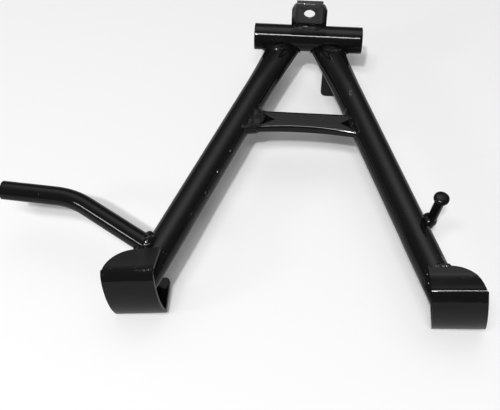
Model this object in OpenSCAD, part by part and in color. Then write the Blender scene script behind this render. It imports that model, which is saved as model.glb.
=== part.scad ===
// Moped centre stand: a welded steel A-frame, lying on its back.
// The origin is the middle of the pivot tube. X runs along the pivot tube, the legs
// run towards -Y, and +Z points up from the surface that the stand lies on.
// The legs lie in a plane a little below the pivot axis. Modules for the legs and what
// is welded to them use that plane as Z = 0, and on_frame() puts it in its place.

/* [Pivot tube] */
// Length of the pivot tube
pivot_len = 105; // [95:1:140]
// Outer diameter of the pivot tube
pivot_d = 25.4; // [24:0.2:30]
// Bore for the pivot shaft
pivot_bore = 20; // [12:0.5:21]

/* [Legs] */
// Outer diameter of a leg tube
leg_d = 26; // [24:0.2:27]
// Wall of a leg tube
leg_wall = 2; // [1.5:0.1:3]
// Angle of each leg away from the middle line, in degrees
leg_splay = 19.8; // [17:0.1:23]
// Distance of each leg's axis from the middle line, at the legs' upper ends
leg_root = 16; // [15:0.5:22]
// Height of the pivot axis above the plane of the legs
leg_drop = 8; // [6:0.2:9]
// Distance of the legs' roots behind the pivot axis
leg_back = 8.8; // [7:0.2:10]
// Distance that the legs' middle line lies to the left of the pivot tube's middle
leg_shift = 2; // [0:0.2:3]
// Length of the flattened upper end of each leg
flat_len = 75; // [60:1:85]
// Amount that a leg is wider on each side at its flattened end
flat_gain = 2.6; // [1:0.1:3.2]
// Distance from the legs' roots to the front corner of the feet
stand_len = 287; // [270:1:320]
// Depth of the lapped seam that runs down the inner side of each leg
seam_step = 1.2; // [0.6:0.1:1.5]
// Angle of the seam from the top of the leg towards its inner side
seam_angle = 54; // [45:1:65]
// Distance along the leg at which the seam ends
seam_end = 251; // [230:1:260]

/* [Seam tacks] */
// Distance along the left leg of the first tack
tack_first = 161; // [150:1:170]
// Distance from one tack to the next
tack_pitch = 24.8; // [18:0.2:26]
// Number of tacks
tack_count = 4; // [1:1:4]
// Diameter of a tack
tack_d = 5.2; // [4:0.1:6]

/* [Cross brace] */
// Distance from the legs' roots to the rear edge of the brace
brace_rear = 105.6; // [95:0.2:112]
// Depth of the brace at its middle
brace_depth = 18.7; // [16:0.1:24]
// Height of the brace's lips, over its top
brace_h = 8.6; // [7:0.2:14]
// Height of the top of the brace above the leg axes
brace_top = 8; // [4:0.5:9]
// Sheet thickness of the brace
brace_t = 2.5; // [2:0.1:3]
// Outer radius of the brace's bends
brace_bend = 3.2; // [3:0.1:4]
// Radius of the arched front edge
brace_arch_r = 243; // [180:1:320]
// Reach of the notch in each end of the top face, from the leg
notch_reach = 11; // [6:0.5:14]
// Width of that notch at the leg
notch_w = 9; // [6:0.5:11]

/* [Pivot bracket] */
// Sheet thickness of the bracket
bracket_t = 2.5; // [2:0.1:3]
// Width of the flat web of the bracket
bracket_web_w = 25; // [22:0.2:28]
// Width of the bracket over its side flanges
bracket_w = 34.2; // [31:0.2:36]
// Width of the saddle that is welded on the pivot tube
saddle_w = 29; // [26:0.2:30]
// Height of the bracket's top above the pivot axis
bracket_top = 39.5; // [34:0.5:48]
// Height at which the side flanges start to narrow
bracket_shoulder = 28.4; // [24:0.2:32]
// Distance of the web's front face behind the pivot axis
web_y = 3; // [1:0.5:4]
// Depth of the side flanges and the top flange, behind the web's front face
flange_depth = 5.4; // [4.5:0.1:7]
// Distance that the saddle reaches in front of the pivot axis
saddle_front = 5.2; // [3:0.2:7]
// Diameter of the hole in the web
web_hole = 10.6; // [8:0.1:12]
// Height of the hole's centre above the pivot axis
hole_z = 27.4; // [26:0.2:30]

/* [Feet] */
// Width of a foot plate
foot_w = 42; // [36:0.5:48]
// Thickness of a foot plate
foot_t = 3; // [2.5:0.1:4]
// Height of a foot over its top and bottom leaves
foot_h = 56.4; // [50:0.2:64]
// Radius of the rocking face
rocker_r = 61; // [52:0.5:80]
// Height of the rocking face's foremost point below the top leaf
rocker_drop = 33.6; // [28:0.2:38]
// Distance of that foremost point in front of the foot's corner
rocker_front = 9.2; // [7:0.1:12]
// Outer radius of the two bends
foot_bend = 5; // [4.5:0.1:7]
// Reach of the top leaf behind the foot's corner
top_leaf = 22; // [18:0.5:25]
// Reach of the bottom leaf behind the foot's corner
bottom_leaf = 28; // [20:0.5:32]
// Radius of the top leaf's outer corner
leaf_corner = 28; // [14:0.5:30]
// Radius of the bottom leaf's corners
bottom_corner = 4; // [3:0.5:10]
// Slant of the top leaf's inner edge, as a share of its reach
leaf_slant = 0.1; // [0:0.01:0.2]
// Distance between the middles of the two feet
foot_spacing = 255.6; // [250:0.2:262]

/* [Kick lever] */
// Diameter of the lever's bar
lever_d = 16; // [12:0.5:18]
// Height of the lever's axis above the leg axes
lever_z = 8; // [4:0.5:9]
// Distance from the front corner of the feet back to where the lever meets its leg
lever_back = 24.5; // [23:0.5:34]
// Length from the leg's axis to the corner of the bend
lever_inner = 90.6; // [70:0.2:120]
// Length from the corner of the bend to the free end
lever_outer = 61.7; // [40:0.2:90]
// Angle of the inner stretch to the pivot axis, in degrees
lever_slope = 31.1; // [28:0.1:34]
// Angle of the bend, in degrees
lever_bend = 27.5; // [15:0.5:40]
// Radius of the bend's centre line
lever_bend_r = 62; // [40:1:80]
// Distance of the bar's inner end from the leg's axis
lever_start = 5; // [3:0.5:9]

/* [Spring pin] */
// Diameter of the pin's shank
pin_d = 8; // [6:0.2:10]
// Diameter of the pin's head
pin_head_d = 12.6; // [11:0.2:17]
// Height of the pin's head
pin_head_h = 4.6; // [3:0.2:7]
// Free length of the shank above the leg's axis
pin_up = 31; // [24:0.5:40]
// Length of the shank below the leg's axis
pin_down = 6; // [4:0.5:9]
// Distance from the legs' roots to the pin
pin_y = 213; // [200:1:230]
// Lean of the pin away from the leg, in degrees
pin_lean = 5; // [0:0.5:10]

/* [Rest tab] */
// Width of the tab under the right leg
tab_w = 22; // [18:0.5:26]
// Thickness of the tab
tab_t = 4; // [3:0.1:5]
// Distance from the legs' roots to the tab's front face
tab_y = 36; // [32:0.5:44]
// Depth of the surface that the stand lies on, below the plane of the legs
rest_depth = 43.5; // [40:0.1:50]
// Radius of the tab's lower corners
tab_corner = 6; // [3:0.5:9]

/* [Welds] */
// Size of a weld bead across its leg
bead = 3; // [2:0.1:4]

/* [Hidden] */
$fn = 96;
eps = 0.01;
pivot_r = pivot_d / 2;
leg_r = leg_d / 2;
// The seam is left out where the brace is welded on
brace_span = [brace_rear - 4, brace_rear + brace_depth + 8];
// Where a leg's upper end is cut off, below the pivot tube
leg_start = 14;
// The flattened end is thicker by this hair, so that it holds the round stretch's end
flat_hair = 0.1;
// Its seam lies this many degrees on, for the same reason
seam_slope = 1.6;
flat_step = 10;
flat_pitch = 8;
// The lap fades out at this angle beyond the seam
seam_fade = 70;
leg_cut_len = stand_len + 60;
// The feet were tacked on a little out of true: turns about X, Y and Z, and shifts
left_foot_turn = [-1.7, -6.3, 2.3];
right_foot_turn = [-0.4, -9.6, -1.2];
left_foot_shift = [-1.75, -1.8, 2.3];
right_foot_shift = [-1.7, 1.3, 3.4];
rocker_cy = rocker_r - rocker_front;
rocker_cz = -rocker_drop;
arc_step = 5;
black = "#16171a";
weld_black = "#1c1d20";

// Distance of a leg's axis from the middle line, at a distance in front of the legs' roots
function leg_x(y) = leg_root + y * tan(leg_splay);

// Points on an arc round a centre, from angle a to angle b
function arc(c, r, a, b) =
    let (n = max(2, ceil(abs(b - a) / arc_step)))
    [for (i = [0:n]) c + r * [cos(a + (b - a) * i / n), sin(a + (b - a) * i / n)]];

module on_frame() {
    translate([-leg_shift, leg_back, -leg_drop]) children();
}

module on_frame_left() { on_frame() mirror([1, 0, 0]) children(); }

// A bar along the right leg: its axis runs from the leg's root towards the foot
module along_leg() {
    translate([leg_root, 0, 0]) rotate([0, 0, leg_splay]) rotate([90, 0, 0]) children();
}

// Share of the flattening at a distance along the leg
function flatness(s) = pow(max(0, (flat_len - s) / (flat_len - 20)), 1.3);

// What the lap takes off the radius, at an angle beyond the seam
function lap_depth(beyond) =
    beyond < seam_fade ? seam_step * sin(seam_fade - beyond) / sin(seam_fade) : 0;

// One ring of a flattened end: an ellipse round the leg's axis, stepped at the seam
function flat_ring(s, extra, step) =
    let (
        wide = leg_r + extra + flat_gain * flatness(s),
        high = leg_r + extra - 1.2 * flat_gain * flatness(s),
        lapped = concat([seam_slope], [for (b = [flat_step:flat_step:359]) b])
    )
    concat(
        [for (b = lapped)
            flat_point(s, seam_angle + b, wide - step * lap_depth(b), high - step * lap_depth(b))],
        [for (b = [0, seam_slope * 0.7]) flat_point(s, seam_angle + b, wide, high)]
    );

function flat_point(s, angle, wide, high) = [-wide * sin(angle), high * cos(angle), s];

// The flattened end as one solid; its rings lie every few millimetres along the leg
module flat_end(extra, step, from, to) {
    rings = ceil((to - from) / flat_pitch);
    points = [for (i = [0:rings]) each flat_ring(from + (to - from) * i / rings, extra, step)];
    n = len(points) / (rings + 1);
    polyhedron(points, concat(
        [[for (j = [0:n - 1]) j]],
        [for (i = [0:rings - 1]) for (j = [0:n - 1])
            [i * n + j, i * n + n + j, i * n + n + (j + 1) % n, i * n + (j + 1) % n]],
        [[for (j = [n - 1:-1:0]) rings * n + j]]
    ), convexity = 4);
}

// All the space that a leg and a bead of some size round it take up
module leg_envelope(extra = 0) {
    along_leg() {
        flat_end(extra + flat_hair, 0, leg_start - extra / 2, flat_len + 1);
        translate([0, 0, flat_len]) cylinder(r = leg_r + extra, h = leg_cut_len - flat_len);
    }
}

// The same space along the round stretch alone
module leg_round(extra = 0) {
    along_leg() cylinder(r = leg_r + extra, h = leg_cut_len);
}

module pivot_envelope(extra = 0) {
    rotate([0, 90, 0]) cylinder(r = pivot_r + extra, h = pivot_len, center = true);
}

module pivot_tube() {
    color(black) difference() {
        pivot_envelope();
        rotate([0, 90, 0]) cylinder(d = pivot_bore, h = pivot_len + 2, center = true);
    }
}

// What the lap takes off a leg: the space outside a tube that is shifted away from the seam
module lap_cut(from, to) {
    difference() {
        rotate([0, 0, seam_angle]) translate([-2 * leg_r, -2 * leg_r, from])
            cube([2 * leg_r, 4 * leg_r, to - from]);
        lapped_round(from - 1, to - from + 2);
    }
}

// The round bar whose surface the leg follows beyond the seam
module lapped_round(from, length) {
    rotate([0, 0, seam_angle + seam_fade - 90])
        translate([0, -seam_step / sin(seam_fade), from]) cylinder(r = leg_r, h = length);
}

// The round stretch of a leg: a tube rolled from sheet, with a lapped seam
module leg_tube() {
    along_leg() difference() {
        translate([0, 0, flat_len]) cylinder(r = leg_r, h = leg_cut_len - flat_len);
        cylinder(r = leg_r - leg_wall, h = leg_cut_len + 1);
        lap_cut(flat_len - 1, brace_span[0]);
        lap_cut(brace_span[1], seam_end);
    }
}

// One leg, on the right: it is flattened towards the pivot tube
module leg_body() {
    leg_tube();
    along_leg() difference() {
        flat_end(flat_hair, 1, leg_start, flat_len + 1);
        flat_end(-flat_hair - leg_wall, 0, leg_start - 1, flat_len + 2);
    }
}

// Everything in front of the inner face of a foot's rocking face
module foot_outside() {
    reach = 120;
    inner = foot_line(foot_t - eps);
    rotate([90, 0, 90]) translate([0, 0, -foot_w]) linear_extrude(height = 2 * foot_w)
        polygon(concat([[inner[0][0], reach]], inner,
                       [[inner[len(inner) - 1][0], -reach], [-reach, -reach], [-reach, reach]]));
}

// The line of a foot's plate in side view, at a depth below its outer face
function foot_line(d) =
    let (
        c1 = [rocker_cy - sqrt(pow(rocker_r - foot_bend, 2) - pow(-foot_bend - rocker_cz, 2)),
              -foot_bend],
        low = -foot_h + foot_bend,
        c2 = [rocker_cy - sqrt(pow(rocker_r - foot_bend, 2) - pow(low - rocker_cz, 2)), low],
        a1 = atan2(c1[1] - rocker_cz, c1[0] - rocker_cy),
        a2 = atan2(c2[1] - rocker_cz, c2[0] - rocker_cy),
        turn2 = a2 < 0 ? a2 + 360 : a2
    )
    concat(
        arc(c1, foot_bend - d, 90, a1),
        arc([rocker_cy, rocker_cz], rocker_r - d, a1, turn2),
        arc(c2, foot_bend - d, turn2, 270)
    );

function reversed(list) = [for (i = [len(list) - 1:-1:0]) list[i]];

// One foot, on the right: a plate bent into a hook round the leg's end.
// Its inner edge faces -X, its front corner is at the origin.
module foot_plate() {
    inner_x = -foot_w / 2;
    slant = leaf_slant * top_leaf;
    outer = concat([[top_leaf, 0]], foot_line(0), [[bottom_leaf, -foot_h]]);
    inner = concat([[top_leaf, -foot_t]], foot_line(foot_t), [[bottom_leaf, -foot_h + foot_t]]);
    difference() {
        rotate([90, 0, 90]) translate([0, 0, inner_x - slant])
            linear_extrude(height = foot_w + slant) polygon(concat(outer, reversed(inner)));
        // The slanting inner edge of the top leaf, and the straight one below it
        translate([0, 0, -2 * foot_t]) linear_extrude(height = 3 * foot_t)
            polygon([[inner_x - slant - 1, -40], [inner_x, -40], [inner_x, foot_bend],
                     [inner_x - slant, top_leaf + eps], [inner_x - slant - 1, top_leaf + eps]]);
        translate([inner_x - slant - 1, -40, -foot_h - 1]) cube([slant + 1, 90, foot_h - foot_t]);
        leaf_round(1, top_leaf, leaf_corner, -2 * foot_t);
        leaf_round(1, bottom_leaf, bottom_corner, -foot_h - foot_t);
        leaf_round(-1, bottom_leaf, bottom_corner, -foot_h - foot_t);
    }
}

// Takes off the rear corner of a leaf, leaving a round one
module leaf_round(side, reach, r, z) {
    translate([side * (foot_w / 2 - r), reach - r, z]) difference() {
        translate([side > 0 ? 0 : -r - 1, 0, 0]) cube([r + 1, r + 1, 3 * foot_t]);
        translate([0, 0, -1]) cylinder(r = r, h = 3 * foot_t + 2);
    }
}

module place_right_foot() {
    on_frame() translate([foot_spacing / 2, -stand_len, leg_r] + right_foot_shift)
        rotate(right_foot_turn) children();
}

module place_left_foot() {
    on_frame() translate([-foot_spacing / 2, -stand_len, leg_r] + left_foot_shift)
        rotate(left_foot_turn) mirror([1, 0, 0]) children();
}

module right_leg() {
    color(black) difference() {
        on_frame() leg_body();
        pivot_envelope();
        place_right_foot() foot_outside();
        place_right_foot() foot_plate();
    }
}

module left_leg() {
    color(black) difference() {
        on_frame_left() leg_body();
        pivot_envelope();
        place_left_foot() foot_outside();
        place_left_foot() foot_plate();
    }
}

module right_foot() { color(black) place_right_foot() foot_plate(); }
module left_foot() { color(black) place_left_foot() foot_plate(); }

// Outline of the brace seen from above, grown by an amount; its ends lie inside the legs
module brace_block(inset, low, high) {
    rear = brace_rear + inset;
    front = brace_rear + brace_depth - inset;
    difference() {
        translate([0, 0, low]) linear_extrude(height = high - low)
            polygon([[-leg_x(rear), -rear], [leg_x(rear), -rear],
                     [leg_x(front + 8), -front - 8], [-leg_x(front + 8), -front - 8]]);
        translate([0, -front - inset - brace_arch_r, low - 1])
            cylinder(r = brace_arch_r + inset, h = high - low + 2, $fn = 360);
    }
}

// The brace: a channel pressed from sheet, open below, with a notch in each end
module brace_body() {
    low = brace_top - brace_h;
    front_r = brace_arch_r;
    difference() {
        brace_block(0, low, brace_top);
        brace_block(brace_t, low - 1, brace_top - brace_t);
        translate([0, -brace_rear - brace_bend, brace_top - brace_bend]) rotate([0, 90, 0])
            difference() {
                translate([-brace_bend - 1, 0, -leg_x(150)]) cube([brace_bend + 1,
                    brace_bend + 1, 2 * leg_x(150)]);
                cylinder(r = brace_bend, h = 3 * leg_x(150), center = true);
            }
        translate([0, -brace_rear - brace_depth - front_r, brace_top - brace_bend])
            rotate_extrude($fn = 360) difference() {
                translate([front_r - 1, 0]) square([brace_bend + 1, brace_bend + 1]);
                translate([front_r + brace_bend, 0]) circle(r = brace_bend);
            }
        for (side = [-1, 1]) brace_notch(side);
    }
}

module brace_notch(side, above = 0) {
    middle = brace_rear + brace_depth / 2 + 1.5;
    at_leg = leg_x(middle) - leg_r / cos(leg_splay) + 2;
    translate([0, 0, brace_top - 2 * brace_t]) linear_extrude(height = 3 * brace_t + above)
        polygon([[side * (at_leg - notch_reach), -middle],
                 [side * (at_leg + 4), -middle - notch_w * 0.8],
                 [side * (at_leg + 4), -middle + notch_w * 0.8]]);
}

module cross_brace() {
    color(black) difference() {
        on_frame() brace_body();
        on_frame() leg_round();
        on_frame_left() leg_round();
    }
}

// The bracket: a saddle on the pivot tube, a web with a hole, and flanges swept back
module bracket_body() {
    half = bracket_web_w / 2;
    side = bracket_w / 2;
    back = web_y + flange_depth;
    sweep = bracket_t * 0.72;
    knee = bracket_t * 0.42;
    difference() {
        union() {
            intersection() {
                rotate([0, 90, 0]) cylinder(r = pivot_r + bracket_t, h = saddle_w, center = true);
                translate([-saddle_w, -saddle_front, 0])
                    cube([2 * saddle_w, saddle_front + web_y + bracket_t, 2 * pivot_r]);
            }
            linear_extrude(height = bracket_top - bracket_t)
                polygon([[-side, back], [-half, web_y], [half, web_y], [side, back],
                         [side - sweep, back + sweep], [half - knee, web_y + bracket_t],
                         [-half + knee, web_y + bracket_t], [-side + sweep, back + sweep]]);
            translate([-half, web_y, bracket_top - 2 * bracket_t]) intersection() {
                cube([2 * half, flange_depth, 2 * bracket_t]);
                union() {
                    translate([0, 0, bracket_t]) translate([0, bracket_t, 0])
                        cube([2 * half, flange_depth, bracket_t]);
                    translate([0, bracket_t, bracket_t]) rotate([0, 90, 0])
                        cylinder(r = bracket_t, h = 2 * half);
                }
            }
        }
        pivot_envelope();
        for (s = [-1, 1]) bracket_shoulder_cut(s);
        translate([0, web_y - 1, hole_z]) rotate([-90, 0, 0])
            cylinder(d = web_hole, h = bracket_t + 2);
    }
}

// Slants the side flange from the shoulder up to the top of the web
module bracket_shoulder_cut(s) {
    half = bracket_web_w / 2;
    side = bracket_w / 2;
    translate([0, 30, 0]) rotate([90, 0, 0]) linear_extrude(height = 40)
        polygon([[s * half, bracket_top + 1], [s * half, bracket_top - 1],
                 [s * side, bracket_shoulder], [s * (side + 5), bracket_shoulder],
                 [s * (side + 5), bracket_top + 1]]);
}

module pivot_bracket() { color(black) bracket_body(); }

// Places children on the left leg, with X along the lever's inner stretch from the leg
module at_lever() {
    y = stand_len - lever_back;
    on_frame() translate([-leg_x(y), -y, lever_z]) rotate([0, 0, 180 - lever_slope]) children();
}

// The bent bar; its straight stretches end inside the bend, which is thicker by a hair
module lever_bar(extra = 0) {
    tangent = lever_bend_r * tan(lever_bend / 2);
    r = lever_d / 2 + extra;
    lap = 1;
    at_lever() {
        translate([lever_start, 0, 0]) rotate([0, 90, 0])
            cylinder(r = r, h = lever_inner - tangent - lever_start + lap);
        translate([lever_inner - tangent, lever_bend_r, 0]) rotate([0, 0, -90])
            rotate_extrude(angle = lever_bend)
                translate([lever_bend_r, 0]) circle(r = r + 0.04);
        translate([lever_inner, 0, 0]) rotate([0, 0, lever_bend])
            translate([tangent - lap, 0, 0]) rotate([0, 90, 0])
                cylinder(r = r, h = lever_outer - tangent + lap);
    }
}

module kick_lever() {
    color(black) difference() {
        lever_bar();
        on_frame_left() leg_round();
    }
}

module at_pin() {
    gap = 0.15;
    on_frame() translate([leg_x(pin_y) + (leg_r + pin_d / 2 + gap) / cos(leg_splay), -pin_y, 0])
        rotate([0, pin_lean, 0]) children();
}

// The pin: a turned stud with a domed head
module pin_body() {
    at_pin() {
        translate([0, 0, -pin_down]) cylinder(d = pin_d, h = pin_down + pin_up + 1);
        translate([0, 0, pin_up]) cylinder(d = pin_head_d, h = pin_head_h * 0.4);
        translate([0, 0, pin_up + pin_head_h * 0.4]) intersection() {
            cylinder(d = pin_head_d, h = pin_head_h * 0.6);
            dome = (pow(pin_head_d / 2, 2) + pow(pin_head_h * 0.6, 2)) / (pin_head_h * 1.2);
            translate([0, 0, pin_head_h * 0.6 - dome]) sphere(r = dome);
        }
    }
}

module spring_pin() {
    color(black) difference() {
        pin_body();
        on_frame() leg_round();
    }
}

// The tab that the stand lies on, under the right leg
module tab_body() {
    low = -rest_depth + tab_corner;
    on_frame() translate([leg_x(tab_y), -tab_y + tab_t, 0]) rotate([90, 0, 0])
        linear_extrude(height = tab_t) {
            translate([-tab_w / 2, low]) square([tab_w, -low]);
            translate([-tab_w / 2 + tab_corner, -rest_depth])
                square([tab_w - 2 * tab_corner, tab_corner + 1]);
            for (s = [-1, 1]) translate([s * (tab_w / 2 - tab_corner), low])
                circle(r = tab_corner);
        }
}

module rest_tab() {
    color(black) difference() {
        tab_body();
        on_frame() leg_envelope();
    }
}

// Bead round the end of a leg, on the pivot tube: it lies within both grown bars
module right_pivot_weld() {
    color(weld_black) difference() {
        intersection() {
            on_frame() leg_envelope(bead);
            pivot_envelope(bead);
        }
        on_frame() leg_envelope();
        pivot_envelope();
    }
}

module left_pivot_weld() {
    color(weld_black) difference() {
        intersection() {
            on_frame_left() leg_envelope(bead);
            pivot_envelope(bead);
        }
        on_frame_left() leg_envelope();
        pivot_envelope();
    }
}

// Bead round the right end of the brace, open below and at the notch
module brace_bead() {
    low = brace_top - brace_h;
    difference() {
        intersection() {
            leg_round(bead);
            brace_block(-bead, low, brace_top + bead);
            translate([0, -brace_rear - 2 * brace_depth, -leg_r]) cube([leg_x(brace_rear
                + 2 * brace_depth), 2 * brace_depth + 2 * bead, 2 * leg_r]);
        }
        leg_round();
        brace_block(0, low - 1, brace_top);
        brace_notch(1, bead);
    }
}

module right_brace_weld() { color(weld_black) on_frame() brace_bead(); }
module left_brace_weld() { color(weld_black) on_frame_left() brace_bead(); }

// Beads along the front edge and the two sides of the saddle
module bracket_weld() {
    color(weld_black) difference() {
        intersection() {
            rotate([0, 90, 0]) cylinder(r = pivot_r + bracket_t * 0.9,
                h = saddle_w + bead * 1.4, center = true);
            translate([-saddle_w, -saddle_front - bead * 0.8, pivot_r * 0.5])
                cube([2 * saddle_w, saddle_front + bead * 1.6, pivot_r]);
        }
        pivot_envelope();
        bracket_body();
    }
}

// Bead along the rear edge of a foot's top leaf, on the leg
module foot_bead() {
    translate([-foot_w / 2 - leaf_slant * top_leaf, top_leaf, -foot_t])
        rotate([0, 90, 0]) cylinder(r = bead, h = foot_w * 0.6);
}

module right_foot_weld() {
    color(weld_black) difference() {
        intersection() {
            place_right_foot() foot_bead();
            on_frame() leg_round(bead);
        }
        on_frame() leg_round();
        place_right_foot() foot_plate();
    }
}

module left_foot_weld() {
    color(weld_black) difference() {
        intersection() {
            place_left_foot() foot_bead();
            on_frame_left() leg_round(bead);
        }
        on_frame_left() leg_round();
        place_left_foot() foot_plate();
        lever_bar(bead);
    }
}

module lever_weld() {
    color(weld_black) difference() {
        intersection() {
            lever_bar(bead);
            on_frame_left() leg_round(bead);
        }
        on_frame_left() leg_round();
        lever_bar();
        place_left_foot() foot_plate();
    }
}

// Lump between the pin's shank and the leg
module pin_weld() {
    color(weld_black) difference() {
        intersection() {
            at_pin() translate([0, 0, -pin_down])
                cylinder(d = pin_d + 2 * bead, h = 2.2 * pin_down);
            on_frame() leg_round(bead * 1.6);
        }
        on_frame() leg_round();
        pin_body();
    }
}

module tab_weld() {
    color(weld_black) difference() {
        intersection() {
            on_frame() translate([leg_x(tab_y) - tab_w / 2, -tab_y - bead, -rest_depth])
                cube([tab_w, tab_t + 2 * bead, rest_depth]);
            on_frame() leg_envelope(bead);
        }
        on_frame() leg_envelope();
        pivot_envelope(bead);
        tab_body();
    }
}

// Tacks that close the seam of the left leg; they sit on both sides of the lap
module seam_tacks() {
    sunk = 0.8;
    first = tack_first - 2 * tack_d;
    length = (tack_count - 1) * tack_pitch + 4 * tack_d;
    color(weld_black) on_frame_left() along_leg() difference() {
        for (i = [0:tack_count - 1]) rotate([0, 0, seam_angle + 9])
            translate([0, leg_r - sunk, tack_first + i * tack_pitch]) sphere(d = tack_d);
        lapped_round(first, length);
        intersection() {
            translate([0, 0, first]) cylinder(r = leg_r, h = length);
            rotate([0, 0, seam_angle]) translate([0, -2 * leg_r, first - 1])
                cube([2 * leg_r, 4 * leg_r, length + 2]);
        }
    }
}

pivot_tube();
left_leg();
right_leg();
cross_brace();
pivot_bracket();
left_foot();
right_foot();
kick_lever();
spring_pin();
rest_tab();
left_pivot_weld();
right_pivot_weld();
left_brace_weld();
right_brace_weld();
bracket_weld();
left_foot_weld();
right_foot_weld();
lever_weld();
pin_weld();
tab_weld();
seam_tacks();
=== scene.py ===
"""Looks of a moped centre stand: gloss black paint on a welded steel frame, on a pale floor."""

import math

import bmesh
import bpy
import numpy as np
from mathutils import Matrix, Vector


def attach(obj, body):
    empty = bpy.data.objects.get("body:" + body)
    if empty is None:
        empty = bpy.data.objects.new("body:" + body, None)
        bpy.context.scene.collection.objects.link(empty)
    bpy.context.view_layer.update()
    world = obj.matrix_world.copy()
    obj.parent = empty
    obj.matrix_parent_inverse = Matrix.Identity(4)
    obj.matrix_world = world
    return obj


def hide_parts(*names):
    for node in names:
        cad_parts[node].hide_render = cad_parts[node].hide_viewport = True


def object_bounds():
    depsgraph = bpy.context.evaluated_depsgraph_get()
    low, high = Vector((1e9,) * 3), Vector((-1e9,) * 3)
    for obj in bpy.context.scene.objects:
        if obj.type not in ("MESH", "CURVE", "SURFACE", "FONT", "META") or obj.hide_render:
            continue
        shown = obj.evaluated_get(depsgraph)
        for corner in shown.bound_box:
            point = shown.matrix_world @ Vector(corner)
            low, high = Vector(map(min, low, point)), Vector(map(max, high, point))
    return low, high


MM = 0.001
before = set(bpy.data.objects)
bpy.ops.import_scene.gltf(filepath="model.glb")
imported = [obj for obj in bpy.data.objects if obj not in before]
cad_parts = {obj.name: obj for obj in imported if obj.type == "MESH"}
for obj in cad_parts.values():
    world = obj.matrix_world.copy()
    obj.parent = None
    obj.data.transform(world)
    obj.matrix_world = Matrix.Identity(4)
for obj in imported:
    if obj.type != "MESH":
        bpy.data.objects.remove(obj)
cad_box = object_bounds()

# Sizes in millimetres, as in the part's source
PIVOT_R, PIVOT_BORE_R, PIVOT_HALF = 12.7, 10.0, 52.5
LEG_R, LEG_ROOT, LEG_SPLAY = 13.0, 16.0, math.radians(19.8)
LEG_SHIFT = np.array([-2.0, 8.8, -8.0])
LEG_START, FLAT_LEN, FLAT_GAIN = 14.0, 75.0, 2.6
SEAM_ANGLE, SEAM_STEP, SEAM_FADE, SEAM_END = 54.0, 1.2, 70.0, 251.0
TACKS = (161.0, 24.8, 4, 5.2)
BRACE_REAR, BRACE_DEPTH, BRACE_TOP, BRACE_H, BRACE_T = 105.6, 18.7, 8.0, 8.6, 2.5
BRACE_BEND, BRACE_ARCH_R = 3.2, 243.0
NOTCH_REACH, NOTCH_W = 11.0, 9.0
FOOT_W, FOOT_T, FOOT_H, FOOT_SPACING, STAND_LEN = 42.0, 3.0, 56.4, 255.6, 287.0
ROCKER_R, ROCKER_Y, ROCKER_Z, FOOT_BEND = 61.0, 51.8, -33.6, 5.0
TOP_LEAF, BOTTOM_LEAF, LEAF_CORNER, BOTTOM_CORNER, LEAF_SLANT = 22.0, 28.0, 28.0, 4.0, 2.2
LEVER_R, LEVER_Z, LEVER_Y, LEVER_SLOPE, LEVER_BEND = 8.0, 8.0, 262.5, 31.1, 27.5
LEVER_INNER, LEVER_OUTER, LEVER_BEND_R = 90.6, 61.7, 62.0
PIN_R, PIN_HEAD_R, PIN_HEAD_H, PIN_UP, PIN_DOWN = 4.0, 6.3, 4.6, 31.0, 6.0
PIN_Y, PIN_LEAN = 213.0, 5.0

# How each foot was tacked on a little out of true: turns in degrees, shift in millimetres
FOOT_SET = {1: ((-0.4, -9.6, -1.2), (-1.7, 1.3, 3.4)), -1: ((-1.7, -6.3, 2.3), (-1.75, -1.8, 2.3))}
# Where the looks of a foot leave the source: front bend, rear corner, slant of the inner edge,
# how deep the leg's hidden end is pressed down, and how far the front bend is lowered
FOOT_TOP_BEND = {1: 6.0, -1: 14.0}
FOOT_CORNER = {1: LEAF_CORNER, -1: LEAF_CORNER - 2.5}
FOOT_SLANT = {1: LEAF_SLANT, -1: LEAF_SLANT + 2.4}
LEG_END_PRESS = {1: 5.0, -1: 1.0}
FRONT_DROP = 3.6
FOOT_INSET = 0.1
DENT_DEPTH, LEFT_NOTCH_MORE = 6.5, 11.0

# Centre and reach, in metres, of the scratched spots on the right leg
SCUFFS = (((0.1151, -0.2458, 0.0), (0.0034, 0.0034, 0.008)),
          ((0.0414, -0.0754, 0.004), (0.0014, 0.0042, 0.008)))
# Painted reflection on the bracket: its upper middle gets a lighter grey paint that stands in for
# the floor its face reflects. It lies above this height, and at less than this far from the middle
PAINTED_REFLECTION_ABOVE, PAINTED_REFLECTION_HALF_WIDTH_SQUARED = 0.0165, 0.00022

FLOOR_HALF = 6.0
TURN = 6.283

# The camera, worked out from the edges of the pivot tube, legs and feet
PHOTO_SIZE = (500, 410)
CAMERA_AT = Vector((-5.336, -559.653, 507.383)) * MM
CAMERA_FORWARD = Vector((-0.05756, 0.57301, -0.81752))
CAMERA_UP = Vector((-0.05687, 0.81566, 0.57572))
FOCAL_PX = 746.488
SENSOR_MM = 36.0


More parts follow.
